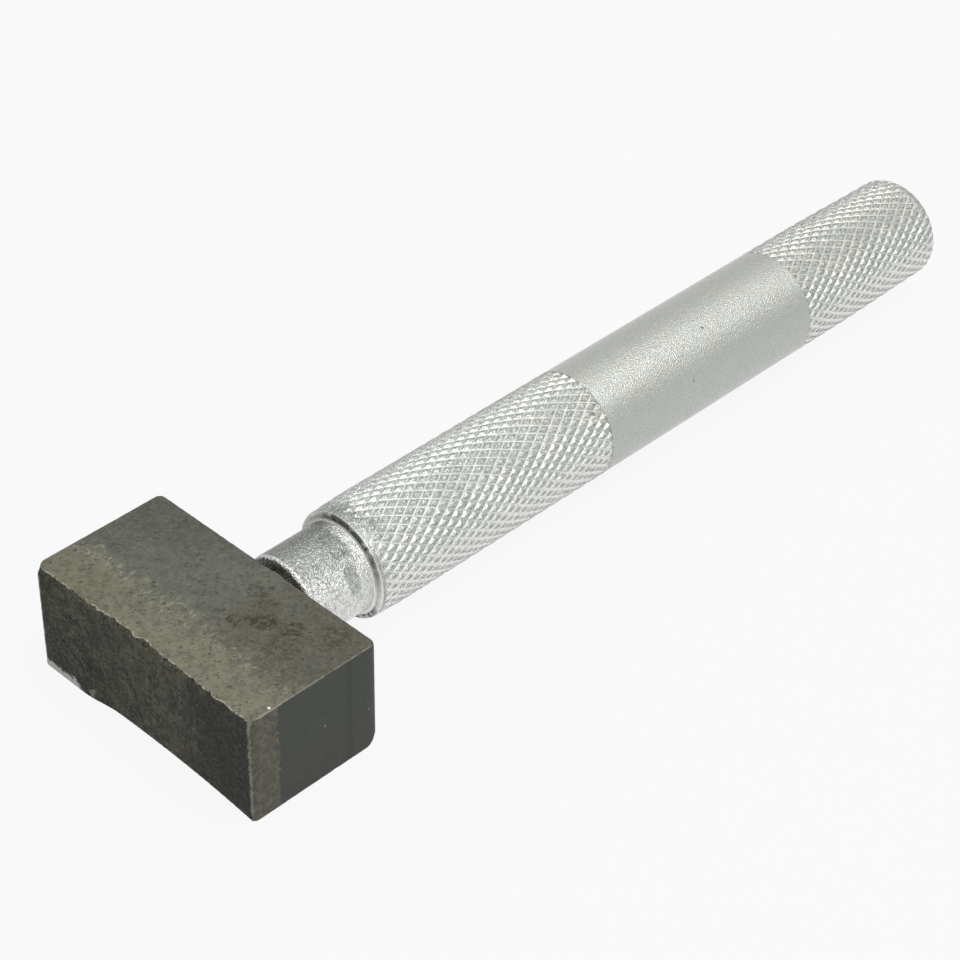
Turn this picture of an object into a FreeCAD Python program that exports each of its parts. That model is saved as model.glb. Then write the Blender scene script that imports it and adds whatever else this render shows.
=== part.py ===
# Diamond wheel dresser: a T-shaped hand tool for truing grinding wheels.
# A bar-shaped head, made of a sintered diamond layer bonded to a steel backing block, is
# screwed onto the stud of a turned and diamond-knurled steel handle.
#
# Millimetres. +X runs along the head, +Y from the working face to the tail of the handle and
# +Z up. The head's underside lies at Z 0, and the origin is the bottom centre of the tool.
import FreeCAD, Part
import math
import os

import Sketcher

# Driving dimensions. Stations are distances from the working face along the handle.
DIMENSIONS = {
    # head
    "head_length": 45.3,
    "head_depth": 22.9,
    "head_height": 18.3,
    "back_corner_round": 1.0,
    "head_edge_round": 0.35,
    "face_hollow": 0.65,
    "layer_thickness_left": 8.8,
    "layer_thickness_right": 5.9,
    # tapped hole in the backing block, and the stud in it
    "stud_diameter": 12.0,
    "stud_tip_chamfer": 0.9,
    "thread_clearance": 0.1,
    "hole_depth": 9.6,
    "drill_point_angle": 118.0,
    # handle
    "overall_length": 166.25,
    "axis_height": 9.5,
    "axis_offset": -0.4,
    "neck_gap": 2.9,
    "neck_diameter": 14.6,
    "neck_end_round": 0.6,
    "neck_fillet": 0.45,
    "shoulder_station": 37.3,
    "shoulder_diameter": 17.54,
    "shoulder_round": 0.95,
    "plain_start": 85.8,
    "plain_end": 132.8,
    "plain_diameter": 17.96,
    "tail_diameter": 17.5,
    "tail_round": 0.9,
    # knurl
    "grip_diameter": 18.06,
    "knurl_depth": 0.38,
    "knurl_starts": 34,
    "knurl_helix_angle": 31.0,
    "knurl_fade_length": 3.6,
    "front_rise_length": 7.0,
    "tail_taper_length": 23.0,
    "crest_step_at_band": 0.02,
    "knurl_core_wall": 0.6,
}

# Points nearer than this are the same point
SAME_PLACE = 1e-4

doc = FreeCAD.newDocument("wheel_dresser")

sheet = doc.addObject("Spreadsheet::Sheet", "Sizes")
for row, (alias, size) in enumerate(DIMENSIONS.items(), start=1):
    sheet.set("A%d" % row, alias)
    sheet.set("B%d" % row, "%g" % size)
    sheet.setAlias("B%d" % row, alias)
doc.recompute()


# Formulas over the sheet, shared by the pieces that have to meet
FRONT = "-Sizes.overall_length / 2"
HALF_LENGTH = "Sizes.head_length / 2"
HOLE_RADIUS = "(Sizes.stud_diameter / 2 + Sizes.thread_clearance)"
STUD_RADIUS = "Sizes.stud_diameter / 2"
STUD_TIP_RADIUS = "(%s - Sizes.stud_tip_chamfer)" % STUD_RADIUS
DRILL_POINT_REACH = "(%s - %s) / tan(Sizes.drill_point_angle / 2 * 1 deg)" % (
    HOLE_RADIUS, STUD_TIP_RADIUS)
STUD_TIP = "(Sizes.head_depth - Sizes.hole_depth - %s)" % DRILL_POINT_REACH
NECK_END = "(Sizes.head_depth + Sizes.neck_gap)"
KNURL_ROW = ("(pi * Sizes.grip_diameter / Sizes.knurl_starts"
             " / tan(Sizes.knurl_helix_angle * 1 deg) / 2)")
FRONT_ROWS = ("floor((Sizes.plain_start - Sizes.shoulder_station - Sizes.shoulder_round) / %s)"
              % KNURL_ROW)
REAR_ROWS = ("floor((Sizes.overall_length - Sizes.tail_round - Sizes.plain_end) / %s)"
             % KNURL_ROW)
FRONT_KNURL_START = "(Sizes.plain_start - %s * %s)" % (FRONT_ROWS, KNURL_ROW)
REAR_KNURL_END = "(Sizes.plain_end + %s * %s)" % (REAR_ROWS, KNURL_ROW)
CORE_RADIUS = "(Sizes.tail_diameter / 2 - Sizes.knurl_depth - Sizes.knurl_core_wall)"


def value(formula):
    """The number that a formula over the sheet gives."""
    result = doc.Sizes.evalExpression(formula.replace("Sizes.", ""))
    return float(getattr(result, "Value", result))


def origin_plane(body, role):
    """The body's own origin plane with this role."""
    return next(item for item in body.Origin.OriginFeatures if item.Role == role)


def new_body(name):
    body = doc.addObject("PartDesign::Body", name)
    body.Label = name
    return body


def place(piece, x="0", y="0", z="0"):
    """Ties a piece's place in the tool to the sheet."""
    for axis, formula in zip("xyz", (x, y, z)):
        piece.setExpression("Placement.Base.%s" % axis, formula)


def new_sketch(body, name, role):
    sketch = body.newObject("Sketcher::SketchObject", name)
    sketch.AttachmentSupport = [(origin_plane(body, role), "")]
    sketch.MapMode = "FlatFace"
    return sketch


def drive(sketch, kind, edge, end, formula):
    """Ties one coordinate of a sketch point, measured from the sketch's origin, to the sheet."""
    number = value(formula)
    index = sketch.addConstraint(Sketcher.Constraint(kind, -1, 1, edge, end, number))
    sketch.setExpression("Constraints[%d]" % index, formula)


def outline(sketch, corners):
    """A closed outline of straight lines whose corners are pairs of formulas."""
    points = [FreeCAD.Vector(value(x), value(y), 0) for x, y in corners]
    count = len(points)
    for index in range(count):
        sketch.addGeometry(Part.LineSegment(points[index], points[(index + 1) % count]), False)
    for index in range(count):
        sketch.addConstraint(Sketcher.Constraint("Coincident", index, 2, (index + 1) % count, 1))
    for index, (x, y) in enumerate(corners):
        drive_point(sketch, index, 1, x, y)


def drive_point(sketch, edge, end, x, y):
    """Ties both coordinates of a sketch point to the sheet."""
    for kind, formula in (("DistanceX", x), ("DistanceY", y)):
        if formula == "0":
            axis = -2 if kind == "DistanceX" else -1
            sketch.addConstraint(Sketcher.Constraint("PointOnObject", edge, end, axis))
        else:
            drive(sketch, kind, edge, end, formula)


def upright_edges(shape, near_y):
    """Names of the vertical edges of a shape that stand at this Y."""
    names = []
    for index, edge in enumerate(shape.Edges, start=1):
        ends = [vertex.Point for vertex in edge.Vertexes]
        if len(ends) < 2:
            continue
        upright = (abs(ends[0].x - ends[1].x) < SAME_PLACE
                   and abs(ends[0].y - ends[1].y) < SAME_PLACE)
        if upright and abs(ends[0].y - near_y) < SAME_PLACE:
            names.append("Edge%d" % index)
    return names


def rim_edges(shape):
    """Names of the top and bottom edges of a head piece, apart from those along the bond."""
    bond_slant = ((value("Sizes.layer_thickness_right") - value("Sizes.layer_thickness_left"))
                  / value("Sizes.head_length"))
    bond_middle = (value("Sizes.layer_thickness_right") + value("Sizes.layer_thickness_left")) / 2
    names = []
    for index, edge in enumerate(shape.Edges, start=1):
        ends = [vertex.Point for vertex in edge.Vertexes]
        level = max(end.z for end in ends) - min(end.z for end in ends) < SAME_PLACE
        on_bond = all(abs(end.y - bond_middle - bond_slant * end.x) < SAME_PLACE for end in ends)
        if level and not on_bond:
            names.append("Edge%d" % index)
    return names


def ring_edge(shape, radius, station):
    """Name of the full circle about the turning axis with this radius and station."""
    for index, edge in enumerate(shape.Edges, start=1):
        curve = edge.Curve
        if isinstance(curve, Part.Circle):
            if abs(curve.Radius - radius) < SAME_PLACE and abs(curve.Center.y - station) < SAME_PLACE:
                return "Edge%d" % index
    raise ValueError("no ring of radius %g at station %g" % (radius, station))


def dress(body, kind, name, base, edges, size_property, formula):
    """Adds a fillet or a chamfer to edges of the body's last feature."""
    feature = body.newObject("PartDesign::%s" % kind, name)
    feature.Base = (base, edges)
    feature.setExpression(size_property, formula)
    doc.recompute()
    return feature


# The sintered diamond layer: hollow working face in front, slanting bond behind
layer = new_body("diamond_layer")
layer_sketch = new_sketch(layer, "layer_outline", "XY_Plane")
half = value(HALF_LENGTH)
hollow = value("Sizes.face_hollow")
left_front = FreeCAD.Vector(-half, 0, 0)
right_front = FreeCAD.Vector(half, 0, 0)
left_bond = FreeCAD.Vector(-half, value("Sizes.layer_thickness_left"), 0)
right_bond = FreeCAD.Vector(half, value("Sizes.layer_thickness_right"), 0)
FACE_ARC, LEFT_SIDE, BOND, RIGHT_SIDE = range(4)
layer_sketch.addGeometry(Part.Arc(left_front, FreeCAD.Vector(0, hollow, 0), right_front), False)
layer_sketch.addGeometry(Part.LineSegment(left_front, left_bond), False)
layer_sketch.addGeometry(Part.LineSegment(left_bond, right_bond), False)
layer_sketch.addGeometry(Part.LineSegment(right_bond, right_front), False)
layer_sketch.addConstraint(Sketcher.Constraint("Coincident", LEFT_SIDE, 2, BOND, 1))
layer_sketch.addConstraint(Sketcher.Constraint("Coincident", BOND, 2, RIGHT_SIDE, 1))
layer_sketch.addConstraint(Sketcher.Constraint("Coincident", FACE_ARC, 2, LEFT_SIDE, 1))
layer_sketch.addConstraint(Sketcher.Constraint("Coincident", FACE_ARC, 1, RIGHT_SIDE, 2))
drive_point(layer_sketch, LEFT_SIDE, 1, "-" + HALF_LENGTH, "0")
drive_point(layer_sketch, LEFT_SIDE, 2, "-" + HALF_LENGTH, "Sizes.layer_thickness_left")
drive_point(layer_sketch, RIGHT_SIDE, 1, HALF_LENGTH, "Sizes.layer_thickness_right")
drive_point(layer_sketch, RIGHT_SIDE, 2, HALF_LENGTH, "0")
face_radius = "(Sizes.head_length ^ 2 / 4 + Sizes.face_hollow ^ 2) / (2 * Sizes.face_hollow)"
radius_index = layer_sketch.addConstraint(
    Sketcher.Constraint("Radius", FACE_ARC, value(face_radius)))
layer_sketch.setExpression("Constraints[%d]" % radius_index, face_radius)
layer_pad = layer.newObject("PartDesign::Pad", "layer_pad")
layer_pad.Profile = layer_sketch
layer_pad.setExpression("Length", "Sizes.head_height")
doc.recompute()
dress(layer, "Fillet", "layer_edges", layer_pad,
      upright_edges(layer_pad.Shape, 0) + rim_edges(layer_pad.Shape),
      "Radius", "Sizes.head_edge_round")
place(layer, y=FRONT)


# The steel backing block behind the bond, with the tapped blind hole for the handle's stud
block = new_body("backing_block")
block_sketch = new_sketch(block, "block_outline", "XY_Plane")
outline(block_sketch, [
    ("-" + HALF_LENGTH, "Sizes.layer_thickness_left"),
    (HALF_LENGTH, "Sizes.layer_thickness_right"),
    (HALF_LENGTH, "Sizes.head_depth"),
    ("-" + HALF_LENGTH, "Sizes.head_depth"),
])
block_pad = block.newObject("PartDesign::Pad", "block_pad")
block_pad.Profile = block_sketch
block_pad.setExpression("Length", "Sizes.head_height")
doc.recompute()
block_corners = dress(block, "Fillet", "block_corners", block_pad,
                      upright_edges(block_pad.Shape, value("Sizes.head_depth")),
                      "Radius", "Sizes.back_corner_round")
block_edges = dress(block, "Fillet", "block_edges", block_corners,
                    rim_edges(block_corners.Shape), "Radius", "Sizes.head_edge_round")

hole_sketch = new_sketch(block, "hole_centre", "XZ_Plane")
hole_sketch.setExpression("AttachmentOffset.Base.z", "-Sizes.head_depth")
hole_centre = FreeCAD.Vector(value("Sizes.axis_offset"), value("Sizes.axis_height"), 0)
hole_sketch.addGeometry(
    Part.Circle(hole_centre, FreeCAD.Vector(0, 0, 1), value(HOLE_RADIUS)), False)
drive_point(hole_sketch, 0, 3, "Sizes.axis_offset", "Sizes.axis_height")
hole_radius_index = hole_sketch.addConstraint(
    Sketcher.Constraint("Radius", 0, value(HOLE_RADIUS)))
hole_sketch.setExpression("Constraints[%d]" % hole_radius_index, HOLE_RADIUS)
doc.recompute()
undrilled_volume = block_edges.Shape.Volume
tapped_hole = block.newObject("PartDesign::Hole", "tapped_hole")
tapped_hole.Profile = hole_sketch
tapped_hole.ThreadType = "None"
tapped_hole.DepthType = "Dimension"
tapped_hole.DrillPoint = "Angled"
tapped_hole.Reversed = True
tapped_hole.setExpression("Diameter", "2 * " + HOLE_RADIUS)
tapped_hole.setExpression("Depth", "Sizes.hole_depth")
tapped_hole.setExpression("DrillPointAngle", "Sizes.drill_point_angle")
doc.recompute()
place(block, y=FRONT)


# The handle's turned core: stud, neck, shoulder, plain band and tail, waisted under the knurls
core = new_body("handle_core")
core_sketch = new_sketch(core, "turned_profile", "XY_Plane")
NECK_RADIUS = "Sizes.neck_diameter / 2"
SHOULDER_RADIUS = "Sizes.shoulder_diameter / 2"
PLAIN_RADIUS = "Sizes.plain_diameter / 2"
TAIL_RADIUS = "Sizes.tail_diameter / 2"
outline(core_sketch, [
    ("0", STUD_TIP),
    (STUD_RADIUS, STUD_TIP),
    (STUD_RADIUS, NECK_END),
    (NECK_RADIUS, NECK_END),
    (NECK_RADIUS, "Sizes.shoulder_station"),
    (SHOULDER_RADIUS, "Sizes.shoulder_station"),
    (SHOULDER_RADIUS, FRONT_KNURL_START),
    (CORE_RADIUS, FRONT_KNURL_START),
    (CORE_RADIUS, "Sizes.plain_start"),
    (PLAIN_RADIUS, "Sizes.plain_start"),
    (PLAIN_RADIUS, "Sizes.plain_end"),
    (CORE_RADIUS, "Sizes.plain_end"),
    (CORE_RADIUS, REAR_KNURL_END),
    (TAIL_RADIUS, REAR_KNURL_END),
    (TAIL_RADIUS, "Sizes.overall_length"),
    ("0", "Sizes.overall_length"),
])
turned = core.newObject("PartDesign::Revolution", "turned_bar")
turned.Profile = core_sketch
turned.ReferenceAxis = (core_sketch, ["V_Axis"])
turned.Angle = 360
doc.recompute()

last = turned
for kind, name, radius, station, size_property, formula in (
        ("Chamfer", "stud_tip", STUD_RADIUS, STUD_TIP, "Size", "Sizes.stud_tip_chamfer"),
        ("Fillet", "neck_end", NECK_RADIUS, NECK_END, "Radius", "Sizes.neck_end_round"),
        ("Fillet", "tail_end", TAIL_RADIUS, "Sizes.overall_length", "Radius", "Sizes.tail_round"),
        ("Fillet", "neck_root", NECK_RADIUS, "Sizes.shoulder_station", "Radius", "Sizes.neck_fillet"),
        ("Fillet", "shoulder_edge", SHOULDER_RADIUS, "Sizes.shoulder_station", "Radius",
         "Sizes.shoulder_round")):
    ring = ring_edge(last.Shape, value(radius), value(station))
    last = dress(core, kind, name, last, [ring], size_property, formula)


# The diamond knurl: two crossed families of V grooves leave rows of four-sided pyramids.
# Crests and groove crossings alternate round each row and from row to row.
STARTS = int(value("Sizes.knurl_starts"))
ROW_STEP = value(KNURL_ROW)


def smooth_step(fraction):
    """An S-curve from 0 to 1."""
    fraction = min(1.0, max(0.0, fraction))
    return fraction * fraction * (3 - 2 * fraction)


def front_form(station):
    """Crest radius and groove depth of the front knurl, which fades in behind the shoulder."""
    behind = station - value(FRONT_KNURL_START)
    low = value(SHOULDER_RADIUS)
    rise = value("Sizes.grip_diameter / 2") - low
    crest = low + rise * math.sin(math.pi / 2 * min(1.0, behind / value("Sizes.front_rise_length")))
    depth = value("Sizes.knurl_depth") * smooth_step(behind / value("Sizes.knurl_fade_length"))
    return crest, depth


def rear_form(station):
    """Crest radius and groove depth of the rear knurl, which tapers towards the tail."""
    full = value("Sizes.grip_diameter / 2")
    to_end = value(REAR_KNURL_END) - station
    drop = full - value(TAIL_RADIUS)
    crest = full - drop * (1 - smooth_step(to_end / value("Sizes.tail_taper_length")))
    return crest, value("Sizes.knurl_depth")


def knurl_rows(start, rows, form):
    """Rows of points round the axis: crest, groove crossing, crest and so on."""
    band_limit = value(PLAIN_RADIUS) - value("Sizes.crest_step_at_band")
    stations = [start + ROW_STEP * index for index in range(rows + 1)]
    grid = []
    for index, station in enumerate(stations):
        crest, depth = form(station)
        at_band = min(abs(station - value("Sizes.plain_start")),
                      abs(station - value("Sizes.plain_end")))
        if at_band < ROW_STEP / 2:
            crest = min(crest, band_limit)
        ring = []
        for step in range(2 * STARTS):
            radius = crest - depth * ((step + index) % 2)
            angle = math.pi * step / STARTS
            ring.append(FreeCAD.Vector(radius * math.cos(angle), station, radius * math.sin(angle)))
        grid.append(ring)
    return grid


def knurl_bar(start, rows, form):
    """A solid bar whose skin is the knurl, closed by a flat face at each end."""
    grid = knurl_rows(start, rows, form)
    count = 2 * STARTS
    faces = [Part.Face(Part.makePolygon(grid[0] + grid[0][:1])),
             Part.Face(Part.makePolygon(grid[-1] + grid[-1][:1]))]
    for row in range(rows):
        for step in range(count):
            beside = (step + 1) % count
            near, near_beside = grid[row][step], grid[row][beside]
            far, far_beside = grid[row + 1][step], grid[row + 1][beside]
            if (step + row) % 2:
                # the groove runs from this point to the one across
                triangles = ((near, near_beside, far_beside), (near, far_beside, far))
            else:
                triangles = ((near, near_beside, far), (near_beside, far_beside, far))
            for corners in triangles:
                faces.append(Part.Face(Part.makePolygon(list(corners) + [corners[0]])))
    skin = Part.makeShell(faces)
    bar = Part.makeSolid(skin)
    if bar.Volume < 0:
        bar.reverse()
    return bar


front_knurl = doc.addObject("Part::Feature", "front_knurl")
front_knurl.Shape = knurl_bar(
    value(FRONT_KNURL_START), int(round(value(FRONT_ROWS))), front_form)
front_knurl.Placement = FreeCAD.Placement()
rear_knurl = doc.addObject("Part::Feature", "rear_knurl")
rear_knurl.Shape = knurl_bar(
    value("Sizes.plain_end"), int(round(value(REAR_ROWS))), rear_form)
rear_knurl.Placement = FreeCAD.Placement()

handle = doc.addObject("Part::MultiFuse", "handle")
handle.Label = "handle"
handle.Shapes = [core, front_knurl, rear_knurl]
handle.Refine = False
place(handle, x="Sizes.axis_offset", y=FRONT, z="Sizes.axis_height")
doc.recompute()


# Checks before anything is written
drilled_volume = undrilled_volume - block.Shape.Volume
if drilled_volume < math.pi * value(HOLE_RADIUS) ** 2 * value("Sizes.hole_depth") - SAME_PLACE:
    raise ValueError("the tapped hole cuts too little")
for item in doc.Objects:
    if any(state in ("Invalid", "Error") for state in item.State):
        raise ValueError("%s failed to build" % item.Name)

os.makedirs("parts", exist_ok=True)
for piece in (layer, block, handle):
    shape = piece.Shape
    if shape.isNull() or not shape.isValid() or len(shape.Solids) != 1:
        raise ValueError("%s isn't one valid solid" % piece.Label)
    shape.exportStep(os.path.join("parts", piece.Label + ".step"))
    box = shape.BoundBox
    print("%s: %d faces, %.1f mm3, X %.2f %.2f, Y %.2f %.2f, Z %.2f %.2f" % (
        piece.Label, len(shape.Faces), shape.Volume,
        box.XMin, box.XMax, box.YMin, box.YMax, box.ZMin, box.ZMax))
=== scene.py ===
# Looks of the diamond wheel dresser: a sintered diamond layer bonded to a dark steel block, on a
# zinc-plated handle with two knurled grips. Metres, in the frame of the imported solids.
import math

import bmesh
import bpy
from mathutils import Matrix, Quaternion, Vector, noise


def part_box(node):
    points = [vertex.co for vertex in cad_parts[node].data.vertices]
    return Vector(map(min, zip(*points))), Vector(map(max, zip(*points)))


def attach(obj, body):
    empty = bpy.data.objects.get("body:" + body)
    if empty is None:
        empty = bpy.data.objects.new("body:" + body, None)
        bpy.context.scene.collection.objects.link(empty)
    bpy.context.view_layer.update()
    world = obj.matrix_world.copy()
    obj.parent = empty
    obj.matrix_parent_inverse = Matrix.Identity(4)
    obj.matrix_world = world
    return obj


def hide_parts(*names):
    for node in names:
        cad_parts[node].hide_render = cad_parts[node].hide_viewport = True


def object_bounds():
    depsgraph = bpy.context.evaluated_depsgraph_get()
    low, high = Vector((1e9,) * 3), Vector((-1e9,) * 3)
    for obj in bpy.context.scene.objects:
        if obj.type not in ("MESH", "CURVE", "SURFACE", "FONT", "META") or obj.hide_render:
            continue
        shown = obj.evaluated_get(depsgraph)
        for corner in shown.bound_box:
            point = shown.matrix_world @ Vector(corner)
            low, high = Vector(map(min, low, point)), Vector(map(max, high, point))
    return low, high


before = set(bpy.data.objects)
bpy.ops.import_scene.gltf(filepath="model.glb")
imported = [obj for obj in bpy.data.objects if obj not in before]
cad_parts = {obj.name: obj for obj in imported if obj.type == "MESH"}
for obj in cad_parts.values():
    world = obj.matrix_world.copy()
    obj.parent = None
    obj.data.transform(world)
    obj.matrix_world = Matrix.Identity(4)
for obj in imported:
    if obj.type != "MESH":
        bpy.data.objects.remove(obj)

MM = 0.001
PICTURE_SIDE = 960

solid_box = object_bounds()
layer_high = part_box("diamond_layer")[1]
block_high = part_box("backing_block")[1]
handle_low, handle_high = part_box("handle")

# Places along the tool are stations, measured from the working face towards the tail
OVERALL_LENGTH = 166.25 * MM
FACE_Y = handle_high.y - OVERALL_LENGTH
AXIS = (handle_low + handle_high) / 2
GRIP_RADIUS = (handle_high.x - handle_low.x) / 2
HEAD_HALF = layer_high.x
HEAD_HEIGHT = layer_high.z
HEAD_DEPTH = block_high.y - FACE_Y


# The light and the materials are written as formulas, which these classes turn into nodes

class Wire:
    """An output socket. Arithmetic on it adds Math nodes to its formula."""

    def __init__(self, formula, socket):
        self.formula = formula
        self.socket = socket

    def __add__(self, other):
        return self.formula.maths("ADD", self, other)

    __radd__ = __add__

    def __sub__(self, other):
        return self.formula.maths("SUBTRACT", self, other)

    def __rsub__(self, other):
        return self.formula.maths("SUBTRACT", other, self)

    def __mul__(self, other):
        return self.formula.maths("MULTIPLY", self, other)

    __rmul__ = __mul__

    def __pow__(self, other):
        return self.formula.maths("POWER", self, other)

    def __rpow__(self, other):
        return self.formula.maths("POWER", other, self)

    def __abs__(self):
        return self.formula.maths("ABSOLUTE", self, 0.0)


class Formula:
    """The nodes of a material or of the world's light."""

    def __init__(self, tree):
        self.tree = tree

    def feed(self, socket, value):
        """Links a wire to a socket, or writes a plain value in it."""
        if isinstance(value, Wire):
            self.tree.links.new(value.socket, socket)
        else:
            socket.default_value = value

    def node(self, kind, settings=None, sockets=None, output=0):
        """Adds a node: its settings first, then the values or wires of its sockets."""
        made = self.tree.nodes.new(kind)
        for name, setting in (settings or {}).items():
            setattr(made, name, setting)
        for name, value in (sockets or {}).items():
            self.feed(made.inputs[name], value)
        return Wire(self, made.outputs[output])

    def place(self):
        """Where a point is, in millimetres: across the tool, the station, and up."""
        coordinates = self.node("ShaderNodeTexCoord", output="Object")
        scaled = self.node("ShaderNodeVectorMath", {"operation": "SCALE"},
                           {0: coordinates, "Scale": 1 / MM})
        return self.vector("SUBTRACT", scaled, (0, FACE_Y / MM, 0))

    def parts(self, vector):
        """The X, Y and Z of a vector, each as a wire."""
        split = self.node("ShaderNodeSeparateXYZ", sockets={0: vector}, output="X")
        outputs = split.socket.node.outputs
        return [Wire(self, outputs[axis]) for axis in "XYZ"]

    def stretch(self, vector, x, y, z, turn=0.0):
        return self.node("ShaderNodeMapping", sockets={
            "Vector": vector, "Scale": (x, y, z), "Rotation": (0, 0, turn)})

    def clouds(self, vector, scale, detail=3.0, rough=0.5, distortion=0.0):
        return self.node("ShaderNodeTexNoise", sockets={
            "Vector": vector, "Scale": scale, "Detail": detail, "Roughness": rough,
            "Distortion": distortion}, output="Fac")

    def spots(self, vector, scale):
        return self.node("ShaderNodeTexVoronoi", sockets={"Vector": vector, "Scale": scale},
                         output="Distance")

    def vector(self, operation, first, second):
        return self.node("ShaderNodeVectorMath", {"operation": operation}, {0: first, 1: second})

    def maths(self, operation, first, second):
        return self.node("ShaderNodeMath", {"operation": operation}, {0: first, 1: second})

    def limited(self, value):
        """Keeps a value from 0 to 1."""
        return self.node("ShaderNodeMath", {"operation": "ADD", "use_clamp": True},
                         {0: value, 1: 0.0})

    def heading(self, vector, degrees, across, along):
        """Turns a vector so that Y lies along a heading, then squeezes it across and along it."""
        turned = self.stretch(vector, 1.0, 1.0, 1.0, math.radians(degrees))
        return self.stretch(turned, across, along, 1.0)

    def marks(self, first, second, places, uneven=0):
        """Soft round marks, each by its place along two directions and its reach."""
        total = 0
        for u, v, reach in places:
            x = first - u
            y = second - v
            distance = (x * x + y * y) ** 0.5 + uneven * reach
            total = between(distance, reach, reach * 0.55) + total
        return self.limited(total)

    def ranged(self, value, low, high, end=1.0):
        """Takes the range from 0 to end to the one from low to high."""
        return self.node("ShaderNodeMapRange", sockets={
            "Value": value, "From Max": end, "To Min": low, "To Max": high})

    def rays(self):
        """Wires that are 1 for what the camera, a mirror or glass sees, in this order."""
        path = self.node("ShaderNodeLightPath").socket.node.outputs
        kinds = ("Is Camera Ray", "Is Glossy Ray", "Is Transmission Ray")
        return [Wire(self, path[kind]) for kind in kinds]

    def relief(self, height, strength, distance):
        return self.node("ShaderNodeBump", sockets={
            "Height": height, "Strength": strength, "Distance": distance}, output="Normal")


class Finish(Formula):
    """A material, with its shader's sockets."""

    def __init__(self, name):
        self.material = bpy.data.materials.new(name)
        self.material.use_nodes = True
        super().__init__(self.material.node_tree)
        self.shader = self.tree.nodes["Principled BSDF"]

    def surface(self, name, value):
        self.feed(self.shader.inputs[name], value)


def colour(value):
    """A colour given as three sRGB levels from 0 to 255, as the linear one that a socket takes."""
    if isinstance(value, Wire):
        return value
    linear = [(level / 255) ** 2.2 for level in value]
    return (*linear, 1)


def between(value, start, end):
    """A soft step from 0 at start to 1 at end."""
    return value.formula.node("ShaderNodeMapRange", {"interpolation_type": "SMOOTHSTEP"}, {
        "Value": value, "From Min": start, "From Max": end})


def blend(share, first, second):
    """Mixes two colours."""
    return share.formula.node("ShaderNodeMix", {"data_type": "RGBA"}, {
        0: share, 6: colour(first), 7: colour(second)}, output=2)


def painted(tone, *coats):
    """Lays coats over a tone one after another, each given by its share and its colour."""
    for share, coat in coats:
        tone = blend(share, tone, coat)
    return tone


# Studio: the camera of the picture, a soft lamp in a dome of light, and a plain pale floor

CAMERA_PLACE = Vector((228.59 * MM, FACE_Y - 168.55 * MM, 267.65 * MM))
CAMERA_AIM = Vector((-0.44 * MM, FACE_Y + 66.0 * MM, 9.5 * MM))
CAMERA_ROLL = math.radians(0.84)
FOCAL_PIXELS = 2776.65
SENSOR_WIDTH = 36.0


def add_camera():
    camera = bpy.data.objects.new("Camera", bpy.data.cameras.new("Camera"))
    bpy.context.scene.collection.objects.link(camera)
    camera.data.sensor_width = SENSOR_WIDTH
    camera.data.lens = FOCAL_PIXELS / PICTURE_SIDE * SENSOR_WIDTH
    camera.data.clip_start = 0.01
    camera.data.clip_end = 20
    sight = CAMERA_AIM - CAMERA_PLACE
    level = sight.to_track_quat("-Z", "Y")
    camera.rotation_mode = "QUATERNION"
    camera.rotation_quaternion = level @ Quaternion((0, 0, 1), CAMERA_ROLL)
    camera.location = CAMERA_PLACE
    bpy.context.scene.camera = camera


def add_lamp(name, direction, distance, size, share):
    """A square soft lamp. Its share is what it adds to a white surface that faces it."""
    lamp = bpy.data.objects.new(name, bpy.data.lights.new(name, "AREA"))
    bpy.context.scene.collection.objects.link(lamp)
    lamp.data.shape = "SQUARE"
    lamp.data.size = size
    lamp.data.energy = share * math.pi ** 2 * distance ** 2
    towards = Vector(direction).normalized()
    lamp.location = AXIS + towards * distance
    lamp.rotation_mode = "QUATERNION"
    lamp.rotation_quaternion = (-towards).to_track_quat("-Z", "Y")


KEY_DIRECTION = (0.29, 0.08, 0.94)
KEY_DISTANCE = 1.3
KEY_SIZE = 0.75
KEY_SHARE = 0.43
# The dome's strength on matt surfaces
AMBIENT = 0.6175
# The dome's brightness at the horizon, and the height on it, from 0 to 1, where it is full
HORIZON_SHARE = 0.72
FULL_HEIGHT = 0.75


def add_world():
    """A dome of light that is white to the camera, and brighter overhead than at the horizon."""
    world = bpy.data.worlds.new("Studio")
    bpy.context.scene.world = world
    world.use_nodes = True
    sky = Formula(world.node_tree)
    height = sky.parts(sky.node("ShaderNodeTexCoord", output="Generated"))[2]
    dome = sky.ranged(height, HORIZON_SHARE, 1.0, FULL_HEIGHT)
    camera, glossy, through = sky.rays()
    unseen = sky.ranged(sky.maths("MAXIMUM", glossy, through), dome * AMBIENT, dome)
    background = sky.tree.nodes["Background"].inputs
    background["Color"].default_value = (1, 1, 1, 1)
    sky.feed(background["Strength"], sky.ranged(camera, unseen, 1.0))


FLOOR_SIZE = 6
FLOOR_GRAY = (190, 190, 190)
# How much of the floor is plain white. The rest is matt and takes the shadow.
FLOOR_GLOW = 0.9


def floor_finish():
    """Pale floor that shows white, with the soft shadow of the tool left in it."""
    finish = Finish("pale_floor")
    finish.surface("Base Color", colour(FLOOR_GRAY))
    finish.surface("Roughness", 0.9)
    finish.surface("Specular IOR Level", 0.0)
    camera, glossy, through = finish.rays()
    seen = finish.maths("MAXIMUM", finish.maths("MAXIMUM", camera, glossy), through)
    white = finish.node("ShaderNodeEmission", sockets={"Color": (1, 1, 1, 1), "Strength": 1.0},
                        output="Emission")
    mixed = finish.node("ShaderNodeMixShader", sockets={
        0: seen * FLOOR_GLOW, 1: Wire(finish, finish.shader.outputs[0]), 2: white}, output="Shader")
    finish.tree.links.new(mixed.socket, finish.tree.nodes["Material Output"].inputs["Surface"])
    return finish.material


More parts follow.
